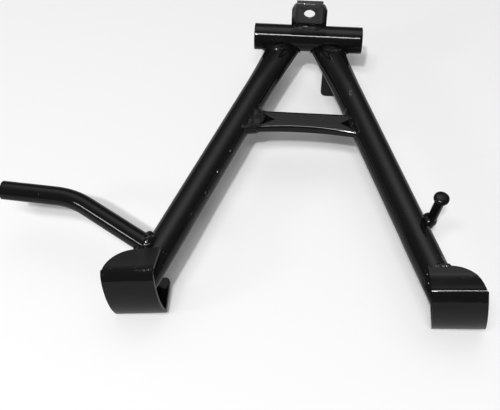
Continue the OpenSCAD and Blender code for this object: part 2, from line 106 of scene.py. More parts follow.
class Socket:
    """A shader socket that numbers and other sockets can be added to, taken from and so on."""

    def __init__(self, graph, link):
        self.graph = graph
        self.link = link

    def _math(self, operation, *values):
        return self.graph.node("ShaderNodeMath", {"operation": operation}, *values)

    def __add__(self, other):
        return self._math("ADD", self, other)

    __radd__ = __add__

    def __sub__(self, other):
        return self._math("SUBTRACT", self, other)

    def __rsub__(self, other):
        return self._math("SUBTRACT", other, self)

    def __mul__(self, other):
        return self._math("MULTIPLY", self, other)

    __rmul__ = __mul__

    def __truediv__(self, other):
        return self._math("DIVIDE", self, other)

    def __rtruediv__(self, other):
        return self._math("DIVIDE", other, self)

    def __neg__(self):
        return self._math("MULTIPLY", self, -1.0)

    def __lt__(self, other):
        return self._math("LESS_THAN", self, other)

    def __gt__(self, other):
        return self._math("GREATER_THAN", self, other)

    def clamp(self):
        """Held between 0 and 1."""
        return self.graph.node("ShaderNodeClamp", None, self)

    def exp(self):
        return self._math("EXPONENT", self)

    def ramp(self, low, high):
        """0 at low, 1 at high, eased in between."""
        settings = {"interpolation_type": "SMOOTHSTEP"}
        return self.graph.node("ShaderNodeMapRange", settings, Value=self, **{
            "From Min": low, "From Max": high, "To Min": 0.0, "To Max": 1.0})


class Graph:
    """The node tree of a material or of the world."""

    def __init__(self, owner):
        owner.use_nodes = True
        self.owner = owner
        self.tree = owner.node_tree
        self.tree.nodes.clear()

    def feed(self, entry, value):
        """Links a socket to an input, or sets the input to a constant."""
        if isinstance(value, Socket):
            self.tree.links.new(value.link, entry)
        else:
            entry.default_value = value

    def node(self, kind, settings=None, *values, output=0, **named):
        """Adds a node: settings first, then the values or links of its inputs."""
        made = self.tree.nodes.new(kind)
        for name, value in (settings or {}).items():
            setattr(made, name, value)
        pairs = [(made.inputs[i], v) for i, v in enumerate(values)]
        pairs += [(made.inputs[k], v) for k, v in named.items()]
        for entry, value in pairs:
            self.feed(entry, value)
        return Socket(self, made.outputs[output])

    def position(self):
        return self.node("ShaderNodeTexCoord", output="Object")

    def axes(self, vector):
        """The three numbers of a vector."""
        return [self.node("ShaderNodeSeparateXYZ", None, vector, output=k) for k in "XYZ"]

    def noise(self, where, scale, detail):
        return self.node("ShaderNodeTexNoise", None, Vector=where, Scale=scale, Detail=detail,
                         Roughness=0.5)

    def mix(self, share, first, second):
        """A colour between two, by a share from 0 to 1."""
        made = self.tree.nodes.new("ShaderNodeMix")
        made.data_type = "RGBA"
        for index, value in ((0, share), (6, first), (7, second)):
            self.feed(made.inputs[index], value)
        return Socket(self, made.outputs[2])

    def finish(self, shader, kind="ShaderNodeOutputMaterial"):
        out = self.tree.nodes.new(kind)
        self.tree.links.new(shader.link, out.inputs["Surface"])
        return self.owner


def gloss_black(name, peel_depth=0.00006, grit=0.0):
    """Sprayed gloss enamel: orange peel, a faint haze, settled dust, a painted reflection (a
    lighter grey on the bracket's upper middle, standing in for the floor it reflects) and scratched
    spots."""
    g = Graph(bpy.data.materials.new(name))
    where = g.position()
    peel = g.noise(where, 380.0, 2.0)
    swell = g.noise(where, 90.0, 1.0)
    haze = g.noise(where, 38.0, 3.0).ramp(0.42, 0.72)
    cells = g.node("ShaderNodeTexVoronoi", {"feature": "F1"}, Vector=where, Scale=520.0)
    pick = g.node("ShaderNodeTexVoronoi", {"feature": "F1"}, Vector=where, Scale=520.0,
                  output="Color")
    lucky = g.node("ShaderNodeSeparateColor", None, pick) > 0.965
    dust = (1.0 - cells.ramp(0.08, 0.24)) * lucky
    height = peel * 0.7 + swell * 1.6
    if grit:
        height = height + g.noise(where, 900.0, 3.0) * grit
    bump = g.node("ShaderNodeBump", None, Strength=1.0, Distance=peel_depth, Height=height)
    x, y, z = g.axes(where)
    scratch = g.noise(where, 1100.0, 3.0).ramp(0.5, 0.6)
    worn = 0.0
    for at, size in SCUFFS:
        far_off = sum((axis - c) * (axis - c) / (r * r) for axis, c, r in zip((x, y, z), at, size))
        worn = (1.0 - far_off).clamp() * scratch + worn
    # painted reflection: the bracket's upper middle is painted a lighter grey in place of the floor
    # reflection its face shows
    bracket_painted_reflection = (z > PAINTED_REFLECTION_ABOVE) * (x * x < PAINTED_REFLECTION_HALF_WIDTH_SQUARED)
    colour = g.mix(bracket_painted_reflection, (0.006, 0.006, 0.0065, 1.0), (0.045, 0.045, 0.047, 1.0))
    colour = g.mix(dust * 0.35, colour, (0.16, 0.16, 0.15, 1.0))
    colour = g.mix(worn * 0.8, colour, (0.4, 0.4, 0.39, 1.0))
    return g.finish(g.node("ShaderNodeBsdfPrincipled", None, **{
        "Base Color": colour, "Roughness": 0.055 + haze * 0.05 + dust * 0.4 + worn * 0.4,
        "Specular IOR Level": 0.36, "Normal": bump}))


def pale_floor():
    """Matt board, white to the camera and greyer to what it lights and is reflected in; a faint
    glow that only the camera sees lifts the shadows."""
    g = Graph(bpy.data.materials.new("pale_floor"))
    seen = g.node("ShaderNodeLightPath", None, output="Is Camera Ray")
    colour = g.mix(seen, (0.42, 0.42, 0.42, 1.0), (0.93, 0.93, 0.93, 1.0))
    board = g.node("ShaderNodeBsdfDiffuse", None, Color=colour)
    pale = g.node("ShaderNodeEmission", None, Color=(0.93, 0.93, 0.93, 1.0), Strength=1.0)
    return g.finish(g.node("ShaderNodeMixShader", None, seen * 0.05, board, pale))


PAINT = gloss_black("gloss_black_paint")
WELD_PAINT = gloss_black("painted_weld", 0.00016, 1.4)


# Surfaces

def skin(rings, caps=True, along_closed=False):
    """Points (m, n, 3) joined into quads, closed round n; caps close the two end rings."""
    m, n = rings.shape[:2]
    i = np.arange(m if along_closed else m - 1)[:, None]
    j = np.arange(n)[None, :]
    a, b = i * n, ((i + 1) % m) * n
    quads = np.stack([a + j, a + (j + 1) % n, b + (j + 1) % n, b + j], axis=-1).reshape(-1, 4)
    faces = quads.tolist()
    if caps and not along_closed:
        faces += [list(range(n))[::-1], [(m - 1) * n + k for k in range(n)]]
    return rings.reshape(-1, 3), faces


def sheet(points):
    """Points (m, n, 3) joined into quads, open on all four sides."""
    m, n = points.shape[:2]
    i = np.arange(m - 1)[:, None] * n
    j = np.arange(n - 1)[None, :]
    quads = np.stack([i + j, i + j + 1, i + n + j + 1, i + n + j], axis=-1).reshape(-1, 4)
    return points.reshape(-1, 3), quads.tolist()


def several(surfaces):
    """Separate surfaces put in one mesh."""
    points, faces, start = [], [], 0
    for p, f in surfaces:
        points.append(p)
        faces += [[k + start for k in face] for face in f]
        start += len(p)
    return np.concatenate(points), faces


def outward(mesh):
    """Turns the faces of closed shells outwards."""
    work = bmesh.new()
    work.from_mesh(mesh)
    bmesh.ops.recalc_face_normals(work, faces=work.faces)
    work.to_mesh(mesh)
    work.free()


def soften(made, width):
    """Rounds a piece's hard edges."""
    bevel = made.modifiers.new("edges", "BEVEL")
    bevel.width, bevel.segments, bevel.limit_method = width * MM, 3, "ANGLE"
    bevel.angle_limit = math.radians(35.0)
    bevel.harden_normals = True


def place(name, mesh, slot, node):
    """Puts a mesh into the scene in place of a CAD node, with the slot's paint."""
    mesh.materials.append(WELD_PAINT if slot == "painted_weld" else PAINT)
    made = bpy.data.objects.new(name, mesh)
    bpy.context.scene.collection.objects.link(made)
    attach(made, "root")
    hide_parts(node)
    return made


def piece(name, surface, node, slot="black_paint", sharp=38.0, thick=None, edge=None):
    """Puts a surface in millimetres into the scene in place of a CAD node; thick gives an open
    sheet its thickness, edge rounds its hard edges."""
    points, faces = surface
    mesh = bpy.data.meshes.new(name)
    mesh.from_pydata((np.asarray(points) * MM).tolist(), [], faces)
    if thick is None:
        outward(mesh)
    mesh.shade_smooth()
    mesh.set_sharp_from_angle(angle=math.radians(sharp))
    made = place(name, mesh, slot, node)
    if thick is not None:
        wall = made.modifiers.new("wall", "SOLIDIFY")
        wall.thickness, wall.offset, wall.use_even_offset = thick * MM, -1.0, True
    if edge is not None:
        soften(made, edge)


def softened_copy(node, name, width):
    """A copy of a CAD node with its edges rounded."""
    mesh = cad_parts[node].data.copy()
    work = bmesh.new()
    work.from_mesh(mesh)
    bmesh.ops.remove_doubles(work, verts=work.verts, dist=2e-6)
    bmesh.ops.dissolve_limit(work, angle_limit=math.radians(0.5), verts=work.verts,
                             edges=work.edges)
    work.to_mesh(mesh)
    work.free()
    mesh.name = name
    mesh.materials.clear()
    mesh.shade_smooth()
    soften(place(name, mesh, "black_paint", node), width)


def turned(profile, turns):
    """An outline of (along, radius) points carried round the Z axis."""
    angle = np.linspace(0.0, 2 * np.pi, turns, endpoint=False)
    along, radius = profile[:, 0][:, None], profile[:, 1][:, None]
    return np.stack([radius * np.cos(angle), radius * np.sin(angle),
                     np.broadcast_to(along, (len(profile), turns))], axis=-1)


def arc(centre, radius, start, stop, count):
    """Points on a circle between two angles in degrees."""
    a = np.radians(np.linspace(start, stop, count))
    return np.stack([centre[0] + radius * np.cos(a), centre[1] + radius * np.sin(a)], axis=-1)


def wobble(t, seed, waves, lowest=1.0):
    """A smooth wavy number of size about 1: a sum of sines of rising pitch, set by a seed:
    2 sum(size_k sin(2 pi pitch_k t + phase_k)) / sum(size_k), size_k = 1 / (1 + k) ** 0.6."""
    rng = np.random.default_rng(seed)
    pitch = lowest * (1 + np.arange(waves)) * (1 + 0.15 * rng.standard_normal(waves))
    phase = rng.uniform(0, 2 * np.pi, waves)
    size = 1 / (1 + np.arange(waves)) ** 0.6
    t = np.asarray(t)[..., None]
    return (size * np.sin(2 * np.pi * pitch * t + phase)).sum(-1) / size.sum() * 2


# The pivot tube: a ring-shaped outline with small edge roundings, carried round the X axis

def pivot_tube():
    e = 0.5
    outline = np.concatenate([
        arc((PIVOT_HALF - e, PIVOT_R - e), e, 0, 90, 5),
        np.stack([np.linspace(PIVOT_HALF - e, -PIVOT_HALF + e, 40)[1:-1], np.full(38, PIVOT_R)],
                 axis=-1),
        arc((-PIVOT_HALF + e, PIVOT_R - e), e, 90, 180, 5),
        arc((-PIVOT_HALF + e, PIVOT_BORE_R + e), e, 180, 270, 5),
        arc((PIVOT_HALF - e, PIVOT_BORE_R + e), e, 270, 360, 5)])
    rings = turned(outline, 160)
    return skin(rings[..., [2, 0, 1]], along_closed=True)


# The legs

def on_leg(u, h, s, side):
    """The row-frame point at s along a leg, u across it (outwards) and h above its axis."""
    x = LEG_ROOT + u * np.cos(LEG_SPLAY) + s * np.sin(LEG_SPLAY)
    y = u * np.sin(LEG_SPLAY) - s * np.cos(LEG_SPLAY)
    return np.stack([side * x, y, h + 0 * x], axis=-1) + LEG_SHIFT


def leg_middle_x(y):
    """How far out the middle of a leg lies, at y towards the feet from the legs' roots."""
    return LEG_ROOT + y * math.tan(LEG_SPLAY)


def leg_half_axes(s):
    """Half width and half height of a leg: they part towards the flattened upper end."""
    flat = FLAT_GAIN * np.maximum(0.0, (FLAT_LEN - s) / (FLAT_LEN - 20.0)) ** 1.3
    return LEG_R + flat, LEG_R - 1.2 * flat


def eased(x, low, high):
    """0 up to low, 1 from high on, and 3 t^2 - 2 t^3 between them."""
    t = np.clip((x - low) / (high - low), 0.0, 1.0)
    return t * t * (3 - 2 * t)


def lap(s, beyond):
    """How far the surface lies inside the round one, at degrees beyond the seam: the drop of the
    lapped sheet with its edge rounded off, a groove at its foot, and a fade round the tube."""
    drop = np.where((beyond >= 0) & (beyond < SEAM_FADE),
                    SEAM_STEP * np.sin(np.radians(SEAM_FADE - np.clip(beyond, 0, SEAM_FADE)))
                    / math.sin(math.radians(SEAM_FADE)), 0.0)
    edge = 0.22 * np.exp(-((beyond + 0.2) / 1.6) ** 2) * (beyond < 0)
    groove = 0.28 * np.exp(-((beyond - 1.2) / 1.5) ** 2) * (beyond >= 0)
    here = (1 - eased(s, BRACE_REAR - 5.5, BRACE_REAR - 3) * (1 - eased(s, 131.0, 134.0)))
    here = here * (1 - eased(s, SEAM_END - 22.0, SEAM_END))
    return (drop + edge + groove) * here


def foot_face_y(z, depth):
    """The rocking face in side view: where it lies at a height, at a depth below its outside."""
    r = ROCKER_R - depth
    return ROCKER_Y - np.sqrt(np.maximum(r * r - (z - ROCKER_Z) ** 2, 1.0))


def foot_turn(side):
    """The turn (a matrix) and the place of a foot."""
    degrees, shift = FOOT_SET[side]
    ax, ay, az = np.radians(degrees)
    rx = np.array([[1, 0, 0], [0, math.cos(ax), -math.sin(ax)], [0, math.sin(ax), math.cos(ax)]])
    ry = np.array([[math.cos(ay), 0, math.sin(ay)], [0, 1, 0], [-math.sin(ay), 0, math.cos(ay)]])
    rz = np.array([[math.cos(az), -math.sin(az), 0], [math.sin(az), math.cos(az), 0], [0, 0, 1]])
    at = np.array([side * FOOT_SPACING / 2, -STAND_LEN, LEG_R]) + shift + LEG_SHIFT
    return rz @ ry @ rx, at


def on_foot(x, y, z, side):
    """The row-frame point of a point in a foot's own frame, x outwards."""
    turn, at = foot_turn(side)
    return np.stack([side * x + 0 * y, y + 0 * x, z + 0 * x], axis=-1) @ turn.T + at


def leg(side):
    """A ring for each distance along the leg: an ellipse lowered by the lap; the first ring lies
    in the pivot tube's wall and the last one in the foot's rocking face. Near that end the top
    is pressed down, so that it stays under the foot's plate."""
    beyond = np.concatenate([[-3.0, -2.0, -1.2, -0.6, -0.15, 0.15, 0.6, 1.2, 2.0, 3.2, 5.0],
                             np.linspace(8, 70, 16), np.linspace(74, 354, 72)])
    angle = np.radians(SEAM_ANGLE + beyond)[None, :]
    wide, high = leg_half_axes(np.array(20.0))
    u, h = -wide * np.sin(angle), high * np.cos(angle)
    z = h + LEG_SHIFT[2]
    reach = np.sqrt(np.maximum((PIVOT_R - 0.8) ** 2 - z ** 2, 0.0))
    first = np.maximum((LEG_SHIFT[1] + u * math.sin(LEG_SPLAY) + reach) / math.cos(LEG_SPLAY),
                       LEG_START)
    turn, at = foot_turn(side)
    tries = np.linspace(270, 330, 241)[:, None]
    probe = on_leg(-LEG_R * np.sin(angle), LEG_R * np.cos(angle), tries, side)
    local = (probe - at) @ turn
    ahead = local[..., 1] - foot_face_y(local[..., 2], 1.5) < 0
    last = np.where(ahead.any(0), tries[np.argmax(ahead, axis=0), 0], 330.0)[None, :]
    share = np.concatenate([np.linspace(0, 0.28, 44), np.linspace(0.284, 1, 160)])[:, None]
    s = first + (last - first) * share
    wide, high = leg_half_axes(s)
    inset = lap(s, beyond[None, :] + 0 * s)
    pressed = LEG_END_PRESS[side] * eased(s, 282.0, 291.0) * np.clip(np.cos(angle), 0, 1)
    inset = inset + pressed
    return skin(on_leg(-(wide - inset) * np.sin(angle), (high - inset) * np.cos(angle), s, side))


# The feet: the outline of the bent plate in side view, carried across its width

def foot(side):
    """The bent plate as an open sheet: its outline is a top leaf, a bend, the rocking face (a
    large arc), a second bend and a bottom leaf. The leaves' corners are arcs, the left top leaf
    curls up at its inner rear corner, and the right foot's front bend lies lower."""
    top_bend = FOOT_TOP_BEND[side]
    c1 = (ROCKER_Y - math.sqrt((ROCKER_R - top_bend) ** 2 - (-top_bend - ROCKER_Z) ** 2), -top_bend)
    low = -FOOT_H + FOOT_BEND
    c2 = (ROCKER_Y - math.sqrt((ROCKER_R - FOOT_BEND) ** 2 - (low - ROCKER_Z) ** 2), low)
    a1 = math.degrees(math.atan2(c1[1] - ROCKER_Z, c1[0] - ROCKER_Y))
    a2 = math.degrees(math.atan2(c2[1] - ROCKER_Z, c2[0] - ROCKER_Y)) % 360
    rear = TOP_LEAF - (TOP_LEAF - c1[0]) * (1 - np.cos(np.linspace(0, np.pi / 2, 30)))
    end = c2[0] + (BOTTOM_LEAF - c2[0]) * np.sin(np.linspace(0, np.pi / 2, 30))
    line = np.concatenate([
        np.stack([rear, np.zeros(30)], -1)[:-1],
        arc(c1, top_bend, 90, a1, 24)[:-1],
        arc((ROCKER_Y, ROCKER_Z), ROCKER_R, a1, a2, 40)[:-1],
        arc(c2, FOOT_BEND, a2, 270, 14)[:-1],
        np.stack([end, np.full(30, -FOOT_H)], -1)])
    y, z = line[:, 0], line[:, 1]
    top, bottom = z > -1, z < -FOOT_H + 1
    half = FOOT_W / 2
    outer, inner = np.full(len(y), half), np.full(len(y), -half)
    r = FOOT_CORNER[side]
    round_top = half - r + np.sqrt(np.maximum(r * r - np.maximum(y - (TOP_LEAF - r), 0) ** 2, 0))
    outer = np.where(top, round_top, outer)
    inner = np.where(top, -half - FOOT_SLANT[side] * np.clip(y / TOP_LEAF, 0, 1) ** 1.3, inner)
    r = BOTTOM_CORNER
    bite = r - np.sqrt(np.maximum(r * r - np.maximum(y - (BOTTOM_LEAF - r), 0) ** 2, 0))
    outer, inner = np.where(bottom, outer - bite, outer), np.where(bottom, inner + bite, inner)
    v = np.linspace(0, 1, 29)[None, :]
    x = inner[:, None] + (outer - inner)[:, None] * v
    behind = np.clip(y[:, None] / TOP_LEAF, 0, 1) * top[:, None]
    if side < 0:
        lift = (1.8 * behind ** 1.5 * (1 - eased(x, -25.0, -12.0))
                - 0.6 * behind ** 2 * eased(x, -12.0, 8.0))
    else:
        front = (eased(z, -22.0, -1.0) * (1 - eased(y, 2.0, 15.0)))[:, None]
        lift = -0.9 * behind ** 2 - FRONT_DROP * front
    points = on_foot(x, y[:, None] + FOOT_INSET, z[:, None] + lift, side)
    return sheet(points if side < 0 else points[:, ::-1])


# The kick lever: a circle carried along two straight stretches joined by a bend

def lever():
    """A ring at each distance t along the bar's middle line, which is straight up to the bend,
    then an arc and then straight again; the radius shrinks over the last bit of the free end."""
    tangent = LEVER_BEND_R * math.tan(math.radians(LEVER_BEND / 2))
    e = 0.7
    total = LEVER_INNER - tangent
    bend = math.radians(LEVER_BEND)
    outer = np.linspace(0, LEVER_OUTER - tangent - e, 12)[1:]
    t = np.concatenate([np.linspace(6.0, total, 12),
                        total + LEVER_BEND_R * np.linspace(0, bend, 26)[1:],
                        total + LEVER_BEND_R * bend + outer])
    r = np.full(len(t), LEVER_R)
    tip = t[-1] + e * np.sin(np.linspace(0, np.pi / 2, 6)[1:])
    t = np.concatenate([t, tip])
    r = np.concatenate([r, LEVER_R - e + e * np.cos(np.linspace(0, np.pi / 2, 6)[1:])])
    swept = np.clip((t - total) / LEVER_BEND_R, 0, bend)
    inner, after = np.minimum(t, total), np.maximum(t - total - LEVER_BEND_R * bend, 0)
    along = inner + LEVER_BEND_R * np.sin(swept) + after * np.cos(swept)
    aside = LEVER_BEND_R * (1 - np.cos(swept)) + after * np.sin(swept)
    angle = np.linspace(0, 2 * np.pi, 72, endpoint=False)[None, :]
    across = r[:, None] * np.cos(angle)
    local_x = along[:, None] - across * np.sin(swept)[:, None]
    local_y = aside[:, None] + across * np.cos(swept)[:, None]
    height = r[:, None] * np.sin(angle) + LEVER_Z
    a = math.radians(180 - LEVER_SLOPE)
    x = -leg_middle_x(LEVER_Y) + local_x * math.cos(a) - local_y * math.sin(a)
    y = -LEVER_Y + local_x * math.sin(a) + local_y * math.cos(a)
    return skin(np.stack([x, y, height], axis=-1) + LEG_SHIFT)


# The spring pin: a turned outline

def at_pin(points):
    """Puts points in the pin's own frame, z along its shank, beside the right leg."""
    a = math.radians(PIN_LEAN)
    turn = np.array([[math.cos(a), 0, math.sin(a)], [0, 1, 0], [-math.sin(a), 0, math.cos(a)]])
    x = leg_middle_x(PIN_Y) + (LEG_R + PIN_R + 0.15) / math.cos(LEG_SPLAY)
    return points @ turn.T + np.array([x, -PIN_Y, 0]) + LEG_SHIFT


def spring_pin():
    """A straight shank, a hollow neck rounding, and a head with a domed top."""
    top = PIN_UP + PIN_HEAD_H
    side = PIN_UP + PIN_HEAD_H * 0.45
    dome_t = np.linspace(0, 1, 14)
    dome = np.stack([side + (top - side) * np.sin(dome_t * np.pi / 2) ** 1.2,
                     PIN_HEAD_R * np.cos(dome_t * np.pi / 2) ** 0.8], -1)
    dome[-1] = (top, 0.02)
    profile = np.concatenate([
        [[-PIN_DOWN, PIN_R]],
        np.stack([np.linspace(-PIN_DOWN + 1, PIN_UP - 1, 10), np.full(10, PIN_R)], -1),
        arc((PIN_UP - 0.8, PIN_R + 0.8), 0.8, 180, 90, 5),
        arc((PIN_UP + 0.6, PIN_HEAD_R - 0.6), 0.6, 180, 90, 5), dome])
    return skin(at_pin(turned(profile, 96)))


# The cross brace: its outline in section, carried from one leg to the other

def brace():
    """The channel as an open sheet: a flat top between two bends and two lips, bowed by an arc
    at its front, with a dent pressed into each end of the top."""
    low, top, b = BRACE_TOP - BRACE_H, BRACE_TOP, BRACE_BEND
    bend = np.linspace(0, np.pi / 2, 9)
    rear = np.concatenate([
        [[0.0, low], [0.0, (low + top - b) / 2]],
        np.stack([b - b * np.cos(bend), top - b + b * np.sin(bend)], -1)])
    middle = np.stack([np.linspace(b, BRACE_DEPTH - b, 49)[1:-1], np.full(47, top)], -1)
    front = np.stack([BRACE_DEPTH - rear[::-1, 0], rear[::-1, 1]], -1)
    line = np.concatenate([rear, middle, front])
    v = np.linspace(-1, 1, 281)[None, :]
    share = np.clip((line[:, 0] - b) / (BRACE_DEPTH - 2 * b), 0, 1)[:, None]
    leg_x = leg_middle_x((BRACE_REAR + line[:, 0])[:, None])
    flat_z = line[:, 1][:, None]
    x = (leg_x - 6.0) * v
    seat = leg_x - LEG_R / math.cos(LEG_SPLAY) + 2
    deep_in = np.where(x < 0, NOTCH_REACH + LEFT_NOTCH_MORE, NOTCH_REACH)
    half_width = NOTCH_W * 0.8 * np.clip((np.abs(x) - seat + deep_in) / (NOTCH_REACH + 4), 0, 1)
    off = np.abs(line[:, 0] - (BRACE_DEPTH / 2 + 1.0))[:, None]
    z = flat_z - DENT_DEPTH * eased(half_width - off, -0.1, 1.3) * (flat_z > top - 0.5)
    lift = (1.0 + 2.2 * (x / 48) ** 2) * (top - b - z) / (top - b - low)
    z = np.where(flat_z < top - b, z + lift, z)
    bow = BRACE_ARCH_R - np.sqrt(BRACE_ARCH_R ** 2 - x ** 2)
    y = -(BRACE_REAR + line[:, 0][:, None] + share * bow)
    return sheet((np.stack([x, y, z + 0 * x], axis=-1) + LEG_SHIFT)[:, ::-1])


# Welds

def bead(path, along, a, b, seed, sink, ripple=0.22, pitch=3.0):
    """A weld run: an uneven ellipse carried along a path, with rounded ends. a is its half width
    towards `along`, b its half height, sink how deep its middle lies; ripples cross it."""
    step = np.gradient(path, axis=0)
    length = np.concatenate([[0], np.cumsum(np.linalg.norm(np.diff(path, axis=0), axis=1))])
    tangent = step / np.linalg.norm(step, axis=1)[:, None]
    along = along - (along * tangent).sum(1)[:, None] * tangent
    along = along / np.linalg.norm(along, axis=1)[:, None]
    out = np.cross(tangent, along)
    out = np.where((out[:, 2:3] < 0) & (np.abs(out[:, 2:3]) > 0.02), -out, out)
    end = np.minimum(length, length[-1] - length) / 3.0
    close = np.sqrt(1 - (1 - np.clip(end, 0.0004, 1)) ** 2)
    t = length / length[-1]
    angle = np.linspace(0, 2 * np.pi, 48, endpoint=False)[None, :]
    lumps = 1 + 0.10 * wobble(t, seed, 7, length[-1] / 28)[:, None]
    phase = length[:, None] / pitch + 0.35 * np.cos(angle)
    waves = ripple * (0.5 - np.abs((phase % 1.0) - 0.5))
    grow = close[:, None] * (lumps + 0.05 * wobble(angle / TURN + 0 * t[:, None], seed + 1, 3))
    p = (a[:, None] * grow + waves * close[:, None]) * np.cos(angle)
    q = (b[:, None] * grow + waves * close[:, None]) * np.sin(angle)
    centre = path[:, None] - out[:, None] * sink
    return skin(centre + along[:, None] * p[..., None] + out[:, None] * q[..., None])


def patch(edge_a, middle, edge_b, normal_a, normal_b, thick, seed, lumps, pitch=2.6):
    """A weld deposit in a corner: its top runs from edge_a over the corner to edge_b as a bulging
    skin with lumps and ripples, its underside lies a little inside the two parts. The arrays hold
    one row per step along the corner; the first and last steps shrink to a point."""
    length = np.concatenate([[0], np.cumsum(np.linalg.norm(np.diff(middle, axis=0), axis=1))])
    end = np.minimum(length, length[-1] - length) / 3.5
    close = np.sqrt(1 - (1 - np.clip(end, 0.0006, 1)) ** 2)
    w = np.linspace(-1, 1, 41)
    w = np.concatenate([w, w[::-1][1:-1:4]])
    upper = np.arange(len(w)) < 41
    side_a = np.clip(-w, 0, 1)[None, :, None]
    side_b = np.clip(w, 0, 1)[None, :, None]
    shape = (middle[:, None] + close[:, None, None] * (
        (edge_a - middle)[:, None] * side_a + (edge_b - middle)[:, None] * side_b))
    lean = 0.5 + 0.5 * w[None, :, None]
    normal = normal_a[:, None] * (1 - lean) + normal_b[:, None] * lean
    normal = normal / np.linalg.norm(normal, axis=-1, keepdims=True)
    t = length[:, None] / 24.0
    crossing = w[None, :]
    rough = (wobble(t + 0.31 * crossing, seed, 9)
             + wobble(0.8 * t - 0.9 * crossing, seed + 1, 7, 1.2)
             + wobble(1.7 * t + 0.55 * crossing, seed + 2, 8, 1.3))
    ripple = np.cos(2 * np.pi * (length[:, None] / pitch + 0.45 * crossing ** 2
                                 + 0.12 * wobble(t, seed + 3, 4)))
    bulge = np.sqrt(1 - crossing ** 2 * 0.999)
    height = bulge * (thick[:, None] * (1 + 0.16 * rough) + lumps * (0.28 * ripple + 0.22 * rough))
    height = np.where(upper[None, :], height - 0.25, -0.8) * close[:, None]
    return skin(shape + normal * height[..., None])


def pivot_weld(side):
    """The deposit where a leg meets the pivot tube: it climbs the tube, and on top of the leg it
    reaches far down in the middle and hardly at all near the leg's sides."""
    angle = np.radians(np.linspace(-112, 112, 240))
    wide, high = leg_half_axes(np.array(22.0))
    u, h = -wide * np.sin(angle), high * np.cos(angle)
    z = h + LEG_SHIFT[2]
    back = np.sqrt(np.maximum(PIVOT_R ** 2 - z ** 2, 0.5))
    s = (LEG_SHIFT[1] + u * math.sin(LEG_SPLAY) + back) / math.cos(LEG_SPLAY)
    middle = on_leg(u, h, s, side)
    top = np.clip(1 - (u / 10.5) ** 2, 0, 1) * (np.cos(angle) > 0)
    down = s + 1.8 + 8.0 * top
    w2, h2 = leg_half_axes(down)
    lower = on_leg(-w2 * np.sin(angle), h2 * np.cos(angle), down, side)
    turn = np.arctan2(z, -middle[:, 1]) + (2.2 + 2.6 * top) / PIVOT_R
    upper = np.stack([middle[:, 0], -PIVOT_R * np.cos(turn), PIVOT_R * np.sin(turn)], -1)
    tube_normal = np.stack([0 * turn, -np.cos(turn), np.sin(turn)], -1)
    leg_normal = (on_leg(-np.sin(angle), np.cos(angle), 0 * s, side)
                  - on_leg(0 * s, 0 * s, 0 * s, side))
    return patch(upper, middle, lower, tube_normal, leg_normal, 1.7 + 0.8 * top,
                 11 if side > 0 else 23, lumps=1.5, pitch=3.3)


def brace_weld(side):
    """The run down the side of the leg where the brace's top meets it, wide over the dent and
    wider all along on the left."""
    d = np.linspace(-2.5, 23.5, 150)
    y = BRACE_REAR + d
    gap = math.sqrt(LEG_R ** 2 - BRACE_TOP ** 2)
    x = leg_middle_x(y) - gap / math.cos(LEG_SPLAY)
    middle = np.stack([side * x, -y, 0 * d + BRACE_TOP - 0.2], -1) + LEG_SHIFT
    onto_leg = np.array([side * 2.4, 0.0, 2.1])
    wide = 3.4 + 1.4 * np.exp(-((d - 12) / 5.0) ** 2)
    wide = wide + 1.2 * eased(d, 17, 20) * (1 - eased(d, 21, 23))
    if side < 0:
        wide = wide + 9.0 * eased(d, -2.5, 3.0)
    onto_brace = np.stack([-side * wide, 0 * d, 0 * d - 0.3], -1)
    leg_normal = np.tile([-side * 0.75, 0.1, 0.62], (len(d), 1))
    up_normal = np.tile([0.0, 0.0, 1.0], (len(d), 1))
    return patch(middle + onto_leg, middle, middle + onto_brace, leg_normal, up_normal,
                 0 * d + 1.7, 31 if side > 0 else 44, lumps=0.8)


def lump(centre, radii, seed):
    """A rounded heap of weld metal: a sphere stretched along the leg and pushed about a little."""
    polar = np.linspace(0.02, np.pi - 0.02, 44)[:, None]
    round_ = np.linspace(0, 2 * np.pi, 72, endpoint=False)[None, :]
    rough = wobble(round_ / TURN, seed, 3) * np.sin(polar) + wobble(polar / 2.2, seed + 1, 5)
    fine = wobble(round_ / TURN, seed + 2, 9) * wobble(polar / 2.0, seed + 3, 7) * np.sin(polar)
    grow = 1 + 0.07 * rough + 0.05 * fine
    across = np.array([math.cos(LEG_SPLAY), -math.sin(LEG_SPLAY), 0.0])
    along = np.array([-math.sin(LEG_SPLAY), -math.cos(LEG_SPLAY), 0.0])
    return skin(centre + (grow * np.sin(polar) * np.cos(round_))[..., None] * across * radii[0]
                + (grow * np.sin(polar) * np.sin(round_))[..., None] * along * radii[1]
                + (grow * np.cos(polar) + 0 * round_)[..., None] * np.array([0.0, 0.0, radii[2]]))


def lever_weld():
    """The heaps that cover the lever's inner end, on top of the leg and along its outer side."""
    a = math.radians(180 - LEVER_SLOPE)
    out_dir = np.array([math.cos(a), math.sin(a), 0.0])
    side_dir = np.array([-out_dir[1], out_dir[0], 0.0])
    base = np.array([-leg_middle_x(LEVER_Y), -LEVER_Y, LEVER_Z]) + LEG_SHIFT
    return several([lump(base + 8.0 * out_dir, (6.4, 8.6, 8.7), 57),
                    lump(base + 12.5 * out_dir + 7.0 * side_dir, (3.6, 4.6, 4.2), 61),
                    lump(base + 13.5 * out_dir - 7.0 * side_dir, (3.4, 4.4, 4.6), 67)])


